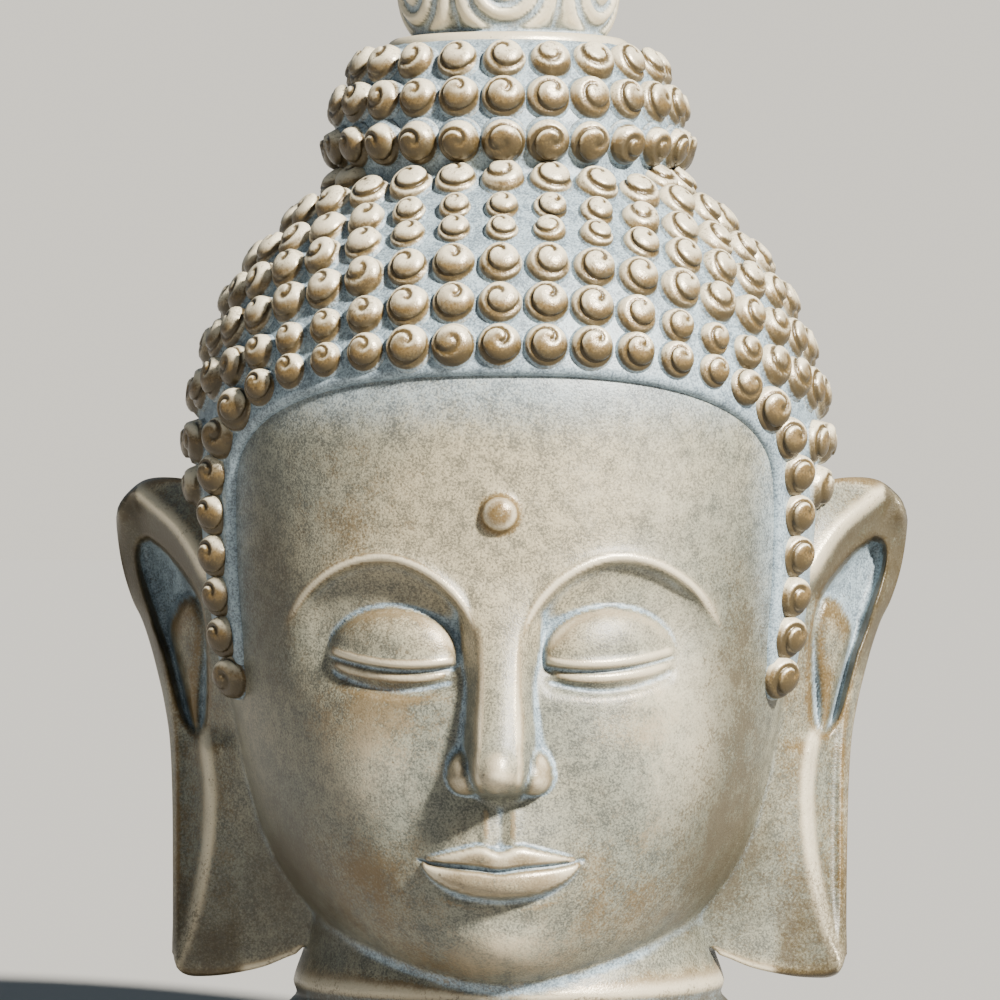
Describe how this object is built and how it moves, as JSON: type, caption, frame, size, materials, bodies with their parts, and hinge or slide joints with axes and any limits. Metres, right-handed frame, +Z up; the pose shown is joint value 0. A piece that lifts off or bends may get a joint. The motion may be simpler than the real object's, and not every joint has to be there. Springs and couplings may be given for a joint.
{
  "type": "buddha head statue",
  "caption": "Cast stone buddha head with snail curls, topknot with a petalled knob, long ears and a short neck cut flat below.",
  "frame": {"origin": "centre of the flat underside of the neck", "axes": "+Z up through the topknot, the face looks towards -Y, +X towards the viewer's right hand"},
  "size_m": [0.4184, 0.3675, 0.616],
  "materials": {
    "cast_stone": "weathered blue-grey cast stone, matt, with bronze-gold rubbed on raised edges and pale hollows"
  },
  "bodies": {
    "root": {"buddha_head": "cast_stone"}
  },
  "joints": []
}
